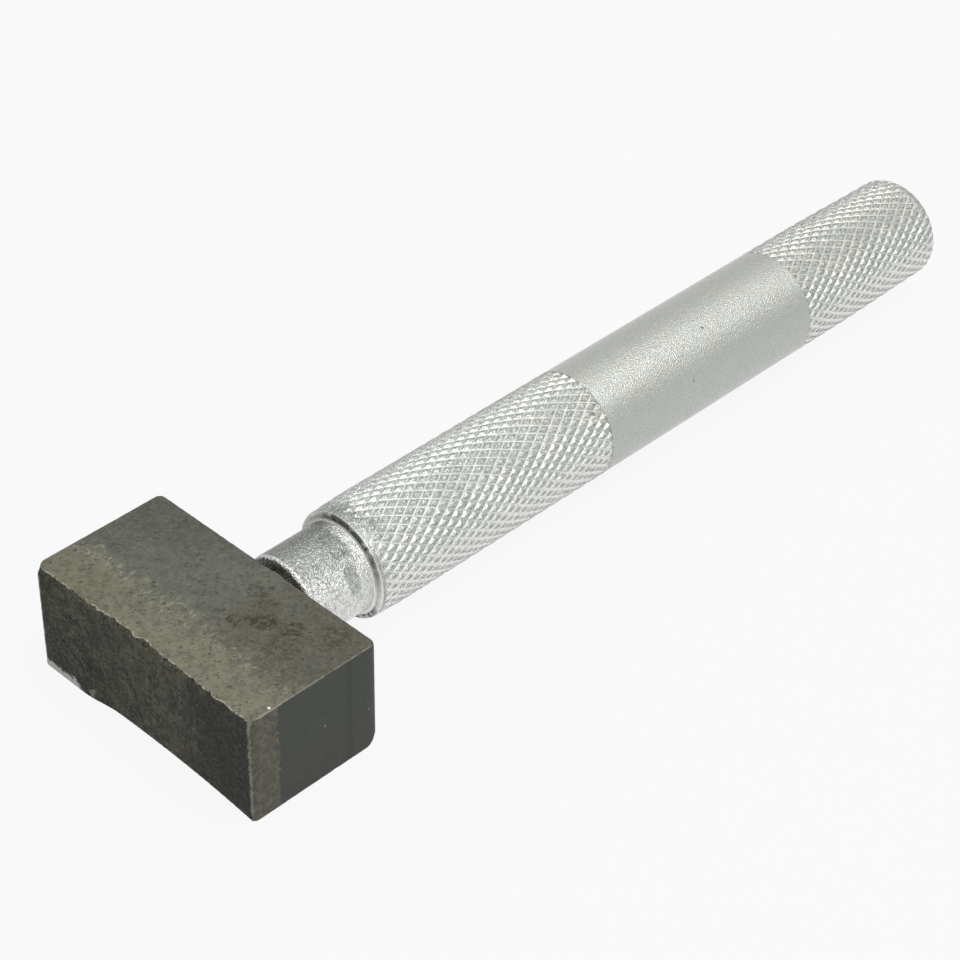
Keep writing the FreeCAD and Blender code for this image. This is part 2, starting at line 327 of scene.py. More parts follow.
def add_floor():
    bpy.ops.object.select_all(action="DESELECT")
    bpy.ops.mesh.primitive_plane_add(size=FLOOR_SIZE, location=(0, 0, solid_box[0].z))
    floor = bpy.context.object
    floor.name = "Floor"
    floor.data.materials.append(floor_finish())


add_camera()
add_world()
add_lamp("Key", KEY_DIRECTION, KEY_DISTANCE, KEY_SIZE, KEY_SHARE)
add_floor()


# Modelling helpers

def begin():
    """Leaves edit mode and deselects everything."""
    if bpy.context.object and bpy.context.object.mode != "OBJECT":
        bpy.ops.object.mode_set(mode="OBJECT")
    bpy.ops.object.select_all(action="DESELECT")


def named(name):
    """Names the piece that was just added and puts its place in its mesh."""
    piece = bpy.context.object
    piece.name = piece.data.name = name
    bpy.ops.object.transform_apply(location=True, rotation=True, scale=True)
    return piece


def choose(kind, test):
    """Selects just those vertices, edges or faces of the piece in edit mode that pass the test."""
    bpy.ops.mesh.select_mode(type={"verts": "VERT", "edges": "EDGE", "faces": "FACE"}[kind])
    bpy.ops.mesh.select_all(action="DESELECT")
    mesh = bmesh.from_edit_mesh(bpy.context.object.data)
    for item in getattr(mesh, kind):
        if test(item):
            item.select_set(True)
    mesh.select_flush_mode()
    bmesh.update_edit_mesh(bpy.context.object.data)


def runs_along(edge, axis):
    """True if an edge runs along the X, Y or Z axis, given as 0, 1 or 2."""
    step = edge.verts[1].co - edge.verts[0].co
    return abs(step[axis]) > 0.999 * step.length


def cut_into_cells(axis, length, cell):
    """Cuts the edges along one axis into even cells, in two passes."""
    strips = 10
    choose("edges", lambda edge: runs_along(edge, axis))
    bpy.ops.mesh.subdivide(number_cuts=strips - 1)
    choose("edges", lambda edge: runs_along(edge, axis))
    bpy.ops.mesh.subdivide(number_cuts=max(1, round(length / strips / cell) - 1))


def apply_modifier(piece, name, kind, **settings):
    modifier = piece.modifiers.new(name, kind)
    for setting, value in settings.items():
        setattr(modifier, setting, value)
    begin()
    bpy.context.view_layer.objects.active = piece
    piece.select_set(True)
    bpy.ops.object.modifier_apply(modifier=name)


def sculpt(piece, rule):
    """Moves every vertex to where the rule puts it. Works in millimetres: across the tool,
    along it from the working face, and up."""
    for vertex in piece.data.vertices:
        across, station, up = rule(vertex.co.x / MM, (vertex.co.y - FACE_Y) / MM, vertex.co.z / MM)
        vertex.co = (across * MM, FACE_Y + station * MM, up * MM)


def clamped(value):
    return min(1.0, max(0.0, value))


def ease(fraction):
    """An S-curve from 0 to 1."""
    fraction = clamped(fraction)
    return fraction * fraction * (3 - 2 * fraction)


def ripple(x, y, z):
    """Smooth noise from -1 to 1 over waves of length 1."""
    return noise.noise(Vector((x, y, z)))


# The head

HALF = HEAD_HALF / MM
HEIGHT = HEAD_HEIGHT / MM
DEPTH = HEAD_DEPTH / MM
BOND_LEFT = 8.8
BOND_RIGHT = 5.9
BACK_CORNER_ROUND = 1.0
FRONT_CORNER_ROUND = 0.75
FACE_HOLLOW = 0.65
# How far from a long edge its rounding reaches
RIM_REACH = 0.42
LAYER_CELL = 0.24 * MM
BLOCK_CELL = 0.34 * MM


def bond_station(across):
    return BOND_LEFT + (BOND_RIGHT - BOND_LEFT) * (across + HALF) / (2 * HALF)


def round_corner(first, second, size):
    """Takes a point of a square corner, given by how far it is from the two sides, to the
    rounded corner."""
    u = 1 - first / size
    v = 1 - second / size
    if u <= 0 or v <= 0:
        return first, second
    scale = max(u, v) / math.hypot(u, v)
    return size * (1 - u * scale), size * (1 - v * scale)


def hollow_at(across):
    return FACE_HOLLOW * (1 - (across / HALF) ** 2)


def layer_form(across, station, up):
    """The hollow working face, its rounded ends and the slanting bond."""
    thickness = bond_station(across)
    share = station / BOND_LEFT
    to_end, station = round_corner(HALF - abs(across), share * thickness, FRONT_CORNER_ROUND)
    across = math.copysign(HALF - to_end, across)
    return across, station + hollow_at(across) * (1 - share), up


def block_form(across, station, up):
    """The block behind the bond, with its rounded back corners."""
    start = bond_station(across)
    share = (station - BOND_RIGHT) / (DEPTH - BOND_RIGHT)
    station = start + (DEPTH - start) * share
    to_end, to_back = round_corner(HALF - abs(across), DEPTH - station, BACK_CORNER_ROUND)
    return math.copysign(HALF - to_end, across), DEPTH - to_back, up


def head_blank(name, first, last, cell):
    """A box of the head's width and height between two stations, cut into even cells."""
    begin()
    low = Vector((-HEAD_HALF, FACE_Y + first * MM, 0))
    high = Vector((HEAD_HALF, FACE_Y + last * MM, HEAD_HEIGHT))
    bpy.ops.mesh.primitive_cube_add(size=1, location=(low + high) / 2, scale=high - low)
    blank = named(name)
    bpy.ops.object.mode_set(mode="EDIT")
    for axis in range(3):
        cut_into_cells(axis, (high - low)[axis], cell)
    bpy.ops.object.mode_set(mode="OBJECT")
    return blank


def soften(piece, near, rounds, lengthwise):
    """Rounds over the edges whose points pass the test."""
    begin()
    bpy.context.view_layer.objects.active = piece
    bpy.ops.object.mode_set(mode="EDIT")
    choose("verts", lambda vertex: near(
        vertex.co.x / MM, (vertex.co.y - FACE_Y) / MM, vertex.co.z / MM))
    bpy.ops.mesh.vertices_smooth(factor=0.5, repeat=rounds, yaxis=lengthwise)
    bpy.ops.object.mode_set(mode="OBJECT")


def near_end_rim(across, station, up):
    """True close to where the ends meet the top and the underside."""
    return min(up, HEIGHT - up) < RIM_REACH and HALF - abs(across) < RIM_REACH


def near_back_rim(across, station, up):
    """True close to where the back meets the top and the underside."""
    return min(up, HEIGHT - up) < RIM_REACH and DEPTH - station < RIM_REACH


# No point of the worn face stands nearer to the front than the solid's own rounded edge
FRONT_GAP = 0.04
# The ragged upper lip of the working face: places across it, and how far it stands behind the
# hollow there, or in front of it where negative
LIP = ((-22.6, 0.0), (-18.2, -0.04), (-17.3, -0.28), (-16.2, -0.06), (-15.6, -0.27), (-14.6, -0.1),
       (-13.6, -0.12), (-13.2, -0.28), (-12.3, -0.4), (-11.8, -0.12), (-11.1, -0.52), (-10.6, -0.42),
       (-10.1, -0.1), (-9.5, -0.16), (-9.1, -0.56), (-8.7, -0.28), (-8.2, -0.06), (-7.8, -0.34),
       (-7.2, 0.02), (-6.5, -0.22), (-6.0, 0.34), (-5.3, -0.02), (-3.8, -0.04), (-3.2, 0.12),
       (-2.2, 0.0), (-1.3, -0.55), (-0.9, -0.4), (-0.2, 0.18), (1.2, 0.3), (1.8, -0.1),
       (2.8, 0.0), (4.0, -0.24), (4.8, -0.46), (5.2, -0.08), (6.4, -0.2), (7.0, -0.06), (7.6, -0.18),
       (8.9, 0.02), (9.6, -0.28), (10.4, -0.24), (10.8, 0.04), (11.6, -0.3), (12.1, -0.33),
       (12.5, -0.14), (13.4, -0.44), (14.3, 0.1), (14.8, -0.34), (15.3, -0.56), (16.1, -0.4),
       (17.0, 0.0), (18.5, -0.18), (19.6, -0.3), (20.7, -0.03), (22.6, -0.22))


def read_along(table, place):
    """Reads a table of places and values, straight between its rows."""
    for (first, before), (last, after) in zip(table, table[1:]):
        if place <= last:
            share = max(0.0, place - first) / (last - first)
            return before + (after - before) * share
    return table[-1][1]


# How far behind the face the hollow and the lip, the bites and the grit, and the flakes reach,
# and how far below the upper edge the lip and the flakes do
FACE_REACH = 1.5
EDGE_REACH = 0.9
FLAKE_REACH = 0.6
LIP_HEIGHT = 1.1
FLAKE_HEIGHT = 2.0
# The hollow is shallower by this much along the top and deeper along the bottom
HOLLOW_LEAN = 0.2
LIP_SHARE = 0.85
FLAKE_DEPTH = 0.09
GRIT_DEPTH = 0.045
# Bites in the upright edges: how far in from the end they reach, their pitch, depth and width
BITE_REACH = 0.6
BITE_PITCH = 0.8
BITE_DEPTH = 0.14
BITE_WIDTH = 0.16
# The face's upper corners: which end, how far they are worn back, and how far the wear reaches
WORN_CORNERS = ((-HALF, 0.35, 1.8), (HALF, 0.3, 1.6))


def chips(along, seed, pitch):
    """How deep a ragged edge is bitten, from 0 to 1: flakes that run out and end in a step."""
    place = along / pitch + 0.9 * ripple(along / 2.6, seed, 1.7)
    flake = math.floor(place)
    run = 1 - (place - flake)
    size = 0.5 + 0.5 * ripple(flake * 3.7, seed, 8.1)
    return clamped(size * run + 0.22 * ripple(along / 0.3, seed, 4.4))


def worn_face(across, station, up):
    """Bites the edges of the working face, rounds off its worn corners and roughens it."""
    side = math.copysign(1, across)
    middle = 1 - (across / HALF) ** 2
    behind = station - hollow_at(across)
    near_face = ease(1 - behind / FACE_REACH)
    near_edge = ease(1 - behind / EDGE_REACH)
    below = HEIGHT - up
    level = up / HEIGHT
    # The hollow is shallower along the top, deeper along the bottom, and gone at its lower left
    station += near_face * middle * HOLLOW_LEAN * (1 - 2 * level) * ease((across + 12) / 6 + level)
    station -= near_face * hollow_at(across) * ease((-8 - across) / 6) * (1 - level) ** 2
    jagged = 0.1 * ripple(across / 0.28, 2.0, 6.0) + 0.09 * ripple(across / 0.7, 5.0, 1.0)
    lip = LIP_SHARE * read_along(LIP, across + 0.25 * ripple(0, up / 0.5, 6.0)) + jagged
    station += near_face * (lip + HOLLOW_LEAN * middle) * ease(1 - below / LIP_HEIGHT)
    flakes = noise.fractal(Vector((across / 0.8, up / 0.7, 9.0)), 0.8, 2.0, 2)
    flaked = ease(1 - behind / FLAKE_REACH) * FLAKE_DEPTH * (flakes + 0.3)
    station += flaked * ease(1 - below / FLAKE_HEIGHT)
    near_end = ease(1 - (HALF - abs(across)) / BITE_REACH)
    end_bite = near_edge * near_end * chips(up, 23 * side, BITE_PITCH)
    for end, size, reach in WORN_CORNERS:
        wear = size * ease(1 - math.dist((across, station, up), (end, 0, HEIGHT)) / reach)
        across -= math.copysign(wear, end)
        station += wear
        up -= 0.6 * wear
    grit = noise.fractal(Vector((across / 0.6, up / 0.6, 3.0)), 0.9, 2.0, 3)
    station += BITE_DEPTH * end_bite + near_edge * GRIT_DEPTH * (1 + grit)
    return across - side * BITE_WIDTH * end_bite, max(FRONT_GAP, station), up


# Dents along the block's long edges, and the wear of its lower back corners
DENT_REACH = 0.3
BACK_DENT = 0.12
END_DENT = 0.1
FOOT_WEAR = 0.2
FOOT_WEAR_REACH = 2.2


def dented_block(across, station, up):
    """Dents the block's long edges and wears its lower back corners."""
    rim = min(up, HEIGHT - up) < DENT_REACH
    if rim and DEPTH - station < DENT_REACH:
        station -= BACK_DENT * max(0.0, ripple(across / 0.9, 5, 5))
    if rim and HALF - abs(across) < DENT_REACH:
        dent = END_DENT * max(0.0, ripple(station / 0.8, 9, 2))
        across -= math.copysign(dent, across)
    for end in (-HALF, HALF):
        wear = ease(1 - math.dist((across, station, up), (end, DEPTH, 0)) / FOOT_WEAR_REACH)
        across -= math.copysign(FOOT_WEAR * wear, end)
        station -= FOOT_WEAR * wear
        up += 0.5 * wear
    return across, station, up


LIP_MARK_DEPTH = 0.34
LIP_MARK_HEIGHT = 0.3


def mark_lip(layer):
    """Stores how near each point is to the upper lip, from 0 to 1 on the lip."""
    marks = layer.data.attributes.new("lip", "FLOAT", "POINT")
    for vertex, mark in zip(layer.data.vertices, marks.data):
        behind = (vertex.co.y - FACE_Y) / MM - hollow_at(vertex.co.x / MM)
        below = HEIGHT - vertex.co.z / MM
        mark.value = max(0.0, 1 - behind / LIP_MARK_DEPTH) * max(0.0, 1 - below / LIP_MARK_HEIGHT)


def add_diamond_layer():
    layer = head_blank("Diamond_Layer", 0, BOND_LEFT, LAYER_CELL)
    sculpt(layer, layer_form)
    mark_lip(layer)
    soften(layer, near_end_rim, 3, False)
    sculpt(layer, worn_face)
    return layer


STUD_RADIUS = 6.0
HOLE_RADIUS = 6.1
HOLE_COUNTERSINK = 0.5
HOLE_DEPTH = 9.6
DRILL_POINT = HOLE_RADIUS / math.tan(math.radians(118 / 2))
DRILL_TIP = 0.02
HOLE_SIDES = 64


def add_backing_block():
    block = head_blank("Backing_Block", BOND_RIGHT, DEPTH, BLOCK_CELL)
    sculpt(block, block_form)
    soften(block, near_end_rim, 2, False)
    soften(block, near_back_rim, 2, True)
    sculpt(block, dented_block)
    drill = turned_bar("Drill", [
        (DEPTH - HOLE_DEPTH - DRILL_POINT, DRILL_TIP),
        (DEPTH - HOLE_DEPTH, HOLE_RADIUS),
        (DEPTH - HOLE_COUNTERSINK, HOLE_RADIUS),
        (DEPTH + HOLE_COUNTERSINK, HOLE_RADIUS + 2 * HOLE_COUNTERSINK)], HOLE_SIDES)
    apply_modifier(block, "Hole", "BOOLEAN", operation="DIFFERENCE", object=drill)
    bpy.data.objects.remove(drill)
    return block


# The handle

TURNED_STEPS = 136
NECK_END = 25.8
NECK_RADIUS = 7.3
NECK_END_ROUND = 0.6
NECK_END_FLAT = 6.5
NECK_RING = 28.0
NECK_FILLET = 0.45
SHOULDER = 37.3
SHOULDER_RADIUS = 8.77
SHOULDER_ROUND = 0.65
# The full shoulder ends here, inside the front knurl's sleeve
COLLAR_END = SHOULDER + 0.95
BAND_START = 85.8
BAND_END = 132.8
BAND_RADIUS = 8.98
# Rings of the plain band, by how far inside its ends they stand
BAND_RINGS = (-0.03, 0.6, 1.2)
TAIL = OVERALL_LENGTH / MM
TAIL_RADIUS = 8.75
TAIL_ROUND = 0.9
# The core under the knurls, and its end just inside the solid's own end
CORE_RADIUS = 7.9
CORE_CHAMFER = 0.2
CORE_END = TAIL - 0.005
GRIP = GRIP_RADIUS / MM
AXIS_ACROSS = AXIS.x / MM
AXIS_UP = AXIS.z / MM


def arc(station, radius, size, first, last, steps=5):
    """Points of an arc about a centre, from one angle to another in degrees: 0 is outwards and
    90 is towards the tail."""
    points = []
    for step in range(steps + 1):
        angle = math.radians(first + (last - first) * step / steps)
        points.append((station + size * math.sin(angle), radius + size * math.cos(angle)))
    return points


def turned_bar(name, outline, steps=TURNED_STEPS):
    """A solid turned about the handle's axis, extruded ring by ring along its outline."""
    begin()
    station, radius = outline[0]
    centre = Vector((AXIS.x, FACE_Y + station * MM, AXIS.z))
    bpy.ops.mesh.primitive_circle_add(vertices=steps, radius=radius * MM, fill_type="NGON",
                                      location=centre, rotation=(math.pi / 2, 0, 0))
    bar = named(name)
    bpy.ops.object.mode_set(mode="EDIT")
    bpy.ops.mesh.select_all(action="SELECT")
    for further, wider in outline[1:]:
        step = Vector((0, (further - station) * MM, 0))
        bpy.ops.mesh.extrude_region_move(TRANSFORM_OT_translate={"value": step})
        centre += step
        scale = wider / radius
        bpy.ops.transform.resize(value=(scale, 1, scale), center_override=centre)
        station, radius = further, wider
    bpy.ops.mesh.select_all(action="SELECT")
    bpy.ops.mesh.normals_make_consistent(inside=False)
    bpy.ops.object.mode_set(mode="OBJECT")
    return bar


THREAD_PITCH = 1.75
THREAD_ROOT = 4.93
# Flats at the root and the crest of the thread, as shares of its pitch
THREAD_ROOT_FLAT = 0.125
THREAD_CREST_FLAT = 0.25
STUD_TIP = 12.7
# The stud runs on this far inside the neck
STUD_LAP = 0.15
STUD_ROWS = 110
STUD_SIDES = 64


def threaded(across, station, up):
    """Raises the screw thread on the stud."""
    x, z = across - AXIS_ACROSS, up - AXIS_UP
    radius = math.hypot(x, z)
    if radius < THREAD_ROOT * 0.9:
        return across, station, up
    turn = math.atan2(z, x) / (2 * math.pi)
    phase = (station / THREAD_PITCH - turn) % 1.0
    flank = abs(2 * phase - 1)
    height = clamped((flank - THREAD_ROOT_FLAT) / (1 - THREAD_ROOT_FLAT - THREAD_CREST_FLAT))
    run_in = clamped(station - STUD_TIP)
    scale = (THREAD_ROOT + (STUD_RADIUS - THREAD_ROOT) * height * run_in) / radius
    return AXIS_ACROSS + x * scale, station, AXIS_UP + z * scale


def add_stud():
    reach = NECK_END + STUD_LAP - STUD_TIP
    outline = [(STUD_TIP + reach * row / STUD_ROWS, THREAD_ROOT) for row in range(STUD_ROWS + 1)]
    stud = turned_bar("Stud", outline, STUD_SIDES)
    sculpt(stud, threaded)
    return stud


def add_turned_body():
    outline = [(NECK_END, NECK_END_FLAT)]
    outline += arc(NECK_END + NECK_END_ROUND, NECK_RADIUS - NECK_END_ROUND, NECK_END_ROUND, -90, 0)
    outline += [(NECK_RING, NECK_RADIUS)]
    outline += arc(SHOULDER - NECK_FILLET, NECK_RADIUS + NECK_FILLET, NECK_FILLET, 180, 90)
    outline += arc(SHOULDER + SHOULDER_ROUND, SHOULDER_RADIUS - SHOULDER_ROUND, SHOULDER_ROUND,
                   -90, 0, 7)
    outline += [(COLLAR_END, SHOULDER_RADIUS), (COLLAR_END, CORE_RADIUS)]
    outline += [(BAND_START + BAND_RINGS[0], CORE_RADIUS)]
    outline += [(BAND_START + ring, BAND_RADIUS) for ring in BAND_RINGS]
    outline += [(BAND_END - ring, BAND_RADIUS) for ring in reversed(BAND_RINGS)]
    outline += [(BAND_END - BAND_RINGS[0], CORE_RADIUS)]
    outline += [(TAIL - CORE_CHAMFER, CORE_RADIUS), (CORE_END, CORE_RADIUS - CORE_CHAMFER / 2)]
    return turned_bar("Handle", outline)


# Two crossed families of grooves leave rows of four-sided pyramids with small worn tops
STARTS = 34
PITCH_RADIUS = 9.03
HELIX_ANGLE = math.radians(31)
ROW = math.pi * 2 * PITCH_RADIUS / STARTS / math.tan(HELIX_ANGLE) / 2
GROOVE_DEPTH = 0.32
FLOOR_RADIUS = GRIP - GROOVE_DEPTH
# Width and height of half a groove's floor, of a tooth's flank, and of its worn top's edge
TOOTH_STEPS = ((0.05, 0.0), (0.37, 0.29), (0.12, 0.03))
# The crests stay this far inside the grip's radius, and are uneven by this much
CREST_GAP = 0.015
UNEVEN = 0.02
# Points nearer than this to a sleeve's end are on it
SAME_PLACE = 0.001


def knurl_sleeve(name, anchor, first, last, form):
    """A bar with a knurled skin between two stations. A row of crests stands at the anchor, and
    the form gives the crest radius and the groove depth at a station."""
    before = math.ceil((anchor - first) / (2 * ROW)) + 1
    after = math.ceil((last - anchor) / (2 * ROW)) + 1
    start = anchor - (2 * before + 1) * ROW
    count = before + after + 1
    length = count * 2 * ROW
    begin()
    bpy.ops.mesh.primitive_cylinder_add(
        vertices=STARTS, radius=FLOOR_RADIUS * MM, depth=length * MM, end_fill_type="NOTHING",
        location=(AXIS.x, FACE_Y + (start + length / 2) * MM, AXIS.z), rotation=(math.pi / 2, 0, 0))
    sleeve = named(name)
    bpy.ops.object.mode_set(mode="EDIT")
    choose("edges", lambda edge: runs_along(edge, 1))
    bpy.ops.mesh.subdivide(number_cuts=count - 1)
    bpy.ops.mesh.select_all(action="SELECT")
    corners = len(bmesh.from_edit_mesh(sleeve.data).verts)
    bpy.ops.mesh.poke()
    choose("verts", lambda vertex: vertex.index >= corners)
    out = 1 / math.cos(math.pi / STARTS)
    bpy.ops.transform.resize(value=(out, 1, out), center_override=(AXIS.x, 0, AXIS.z))
    choose("edges", lambda edge: len(edge.link_faces) == 2
           and all(vertex.index < corners for vertex in edge.verts))
    bpy.ops.mesh.dissolve_edges(use_verts=False)
    choose("faces", lambda face: len(face.verts) == 4)
    for width, rise in TOOTH_STEPS:
        bpy.ops.mesh.inset(thickness=width * MM, depth=rise * MM, use_individual=True)
    for station, outer in ((first, -1), (last, 1)):
        bpy.ops.mesh.select_all(action="SELECT")
        bpy.ops.mesh.bisect(plane_co=(0, FACE_Y + station * MM, 0), plane_no=(0, outer, 0),
                            use_fill=True, clear_outer=True, threshold=SAME_PLACE * MM)
    bpy.ops.mesh.select_all(action="SELECT")
    bpy.ops.mesh.normals_make_consistent(inside=False)
    bpy.ops.object.mode_set(mode="OBJECT")

    def shaped(across, station, up):
        x, z = across - AXIS_ACROSS, up - AXIS_UP
        radius = math.hypot(x, z)
        if radius < CORE_RADIUS:
            return across, station, up
        crest, depth = form(station)
        height = (radius - FLOOR_RADIUS) / GROOVE_DEPTH
        uneven = UNEVEN * noise.noise(Vector((across, station, up)) / 1.4)
        scale = (crest - CREST_GAP - depth * (1 - height) + uneven * height) / radius
        return AXIS_ACROSS + x * scale, station, AXIS_UP + z * scale

    sculpt(sleeve, shaped)
    return sleeve


FRONT_KNURL_START = SHOULDER + SHOULDER_ROUND
FRONT_RISE_LENGTH = 7.0
KNURL_FADE_LENGTH = 3.0
# The share of their full depth that the grooves have at the shoulder
FADED_SHARE = 0.25
TAPER_LENGTH = 23.0
# At the tail the grooves run out over this length, and lose this share of their depth
RUN_OUT_LENGTH = 2.4
RUN_OUT_SHARE = 0.85
# How far the sleeves lap the collar and the plain band, how deep and over what length they sink
# under the band, and how far in front of the tail's end they stop
COLLAR_LAP = 0.2
BAND_LAP = 0.45
SINK_DEPTH = 0.3
SINK_LENGTH = 0.3
TAIL_GAP = 0.02
# A groove shallower than this is measured against this depth
LEAST_DEPTH = 0.12


def front_form(station):
    """Crest radius and groove depth of the front knurl."""
    behind = station - FRONT_KNURL_START
    turn = math.pi / 2 * min(1.0, max(-0.1, behind / FRONT_RISE_LENGTH))
    rise = (GRIP - SHOULDER_RADIUS) * math.sin(turn)
    sink = SINK_DEPTH * ease((station - BAND_START) / SINK_LENGTH)
    share = FADED_SHARE + (1 - FADED_SHARE) * ease(behind / KNURL_FADE_LENGTH)
    return SHOULDER_RADIUS + rise - sink, GROOVE_DEPTH * share


def rear_form(station):
    """Crest radius and groove depth of the rear knurl."""
    drop = (GRIP - TAIL_RADIUS) * (1 - ease((TAIL - station) / TAPER_LENGTH))
    sink = SINK_DEPTH * ease((BAND_END - station) / SINK_LENGTH)
    into_round = min(TAIL_ROUND, max(0.0, station - TAIL + TAIL_ROUND))
    rounded = TAIL_ROUND - math.sqrt(TAIL_ROUND ** 2 - into_round ** 2)
    share = 1 - RUN_OUT_SHARE * ease(1.1 - (TAIL - station) / RUN_OUT_LENGTH)
    return GRIP - drop - sink - rounded, GROOVE_DEPTH * share


KNURLS = ((FRONT_KNURL_START, BAND_START, front_form), (BAND_END, TAIL, rear_form))


def mark_height(handle):
    """Stores how high each point stands: 0 on the floor of a knurl's groove, 1 on its crest and
    on everything that isn't knurled."""
    heights = handle.data.attributes.new("height", "FLOAT", "POINT")
    for vertex, mark in zip(handle.data.vertices, heights.data):
        station = (vertex.co.y - FACE_Y) / MM
        radius = math.hypot(vertex.co.x - AXIS.x, vertex.co.z - AXIS.z) / MM
        mark.value = 1.0
        for first, last, form in KNURLS:
            if first < station < last and radius > CORE_RADIUS:
                crest, depth = form(station)
                mark.value = 1 - clamped((crest - radius) / max(depth, LEAST_DEPTH))


def add_handle():
    body = add_turned_body()
    front = knurl_sleeve("Front_Knurl", BAND_START, FRONT_KNURL_START - COLLAR_LAP,
                         BAND_START + BAND_LAP, front_form)
    rear = knurl_sleeve("Rear_Knurl", BAND_END, BAND_END - BAND_LAP, TAIL - TAIL_GAP, rear_form)
    for tool in (front, rear, add_stud()):
        apply_modifier(tool, "Triangles", "TRIANGULATE")
        apply_modifier(body, "Triangles", "TRIANGULATE")
        apply_modifier(body, "Join", "BOOLEAN", operation="UNION", object=tool)
        bpy.data.objects.remove(tool)
    mark_height(body)
    return body


SMOOTH_ANGLE = math.radians(26)


def smooth(piece):
    begin()
    bpy.context.view_layer.objects.active = piece
    piece.select_set(True)
    bpy.ops.object.shade_smooth_by_angle(angle=SMOOTH_ANGLE)


# Finishes of the head

LAYER_KHAKI = (120, 118, 99)
LAYER_KHAKI_LIGHT = (128, 126, 107)
LAYER_BROWN = (104, 98, 84)
STEEL_SLATE = (101, 104, 97)
STEEL_BROWN = (94, 90, 78)
STEEL_BLUED = (92, 95, 92)
STEEL_TAN = (116, 110, 88)
STEEL_MAUVE = (104, 98, 94)
STEEL_DULL = (80, 79, 71)
STEEL_PALE = (134, 132, 118)
SHADED_STEEL = (87, 90, 83)
END_SLATE = (78, 82, 76)
END_SLATE_LOW = (80, 82, 78)
END_BAND = (64, 68, 63)
END_BACK = (98, 99, 97)
END_DOT = (150, 152, 146)
END_KHAKI = (99, 98, 89)
END_KHAKI_LIGHT = (117, 114, 101)
END_KHAKI_DARK = (66, 66, 59)
END_FRINGE = (132, 128, 112)
FACE_CHARCOAL = (24, 26, 22)
FACE_OLIVE = (76, 76, 64)
FACE_MIDDLE = (112, 110, 92)
FACE_DARK = (24, 25, 22)
FACE_BROWN = (84, 72, 58)
FACE_PIT = (26, 27, 23)
FACE_FLECK = (118, 116, 100)
FACE_EDGE = (38, 39, 35)
FACE_BURR = (140, 140, 128)
FACE_RIM_WEAR_AND_HIGHLIGHT = (158, 157, 144)
LIP_OLIVE = (104, 104, 84)
LIP_GLINT = (186, 184, 168)
RUST = (62, 57, 42)
SPECK = (58, 56, 49)
BARE_EDGE_AND_HIGHLIGHT = (166, 166, 154)
BARE_NICK_AND_GLINT = (236, 236, 230)
BARE_METAL = (226, 227, 222)
SCRATCH = (164, 161, 140)
GRAIN_LIGHT = (150, 146, 130)
GRAIN_DARK = (42, 42, 37)

# Stains on top of the block, each by its place across and along the tool and its reach
STAINS = ((5.9, 12.4, 1.7), (8.6, 14.8, 2.5), (12.7, 16.4, 2.2))
FAINT_STAINS = ((4.6, 18.2, 3.4), (14.3, 12.8, 3.2), (17.7, 19.2, 3.4), (2.7, 12.1, 1.4))
BLUED_PATCHES = ((9.5, 19.6, 2.2), (20.1, 13.8, 2.4))
# Small marks: a bare nick on the top's right edge with a painted glint on it, burrs at the foot of
# the face, dots on the end
NICKS_WITH_GLINTS = ((22.1, 3.9, 0.3),)
BURRS = ((-12.1, 0.75, 0.75), (-11.7, 1.35, 0.45))
END_DOTS = ((13.1, 9.3, 0.22), (21.2, 7.2, 0.2))

# Stations of the scratched belt, the end of the top's khaki, and on the ends of the head: the end
# of the khaki strip, the dark band, and the start and the end of the fade to a pale back
SCRATCHED_STATION = 7.8
KHAKI_END = 7.4
STRIP_END = 4.45
END_BAND_STATION = 17.7
PALE_BACK = (20.5, 22.6)


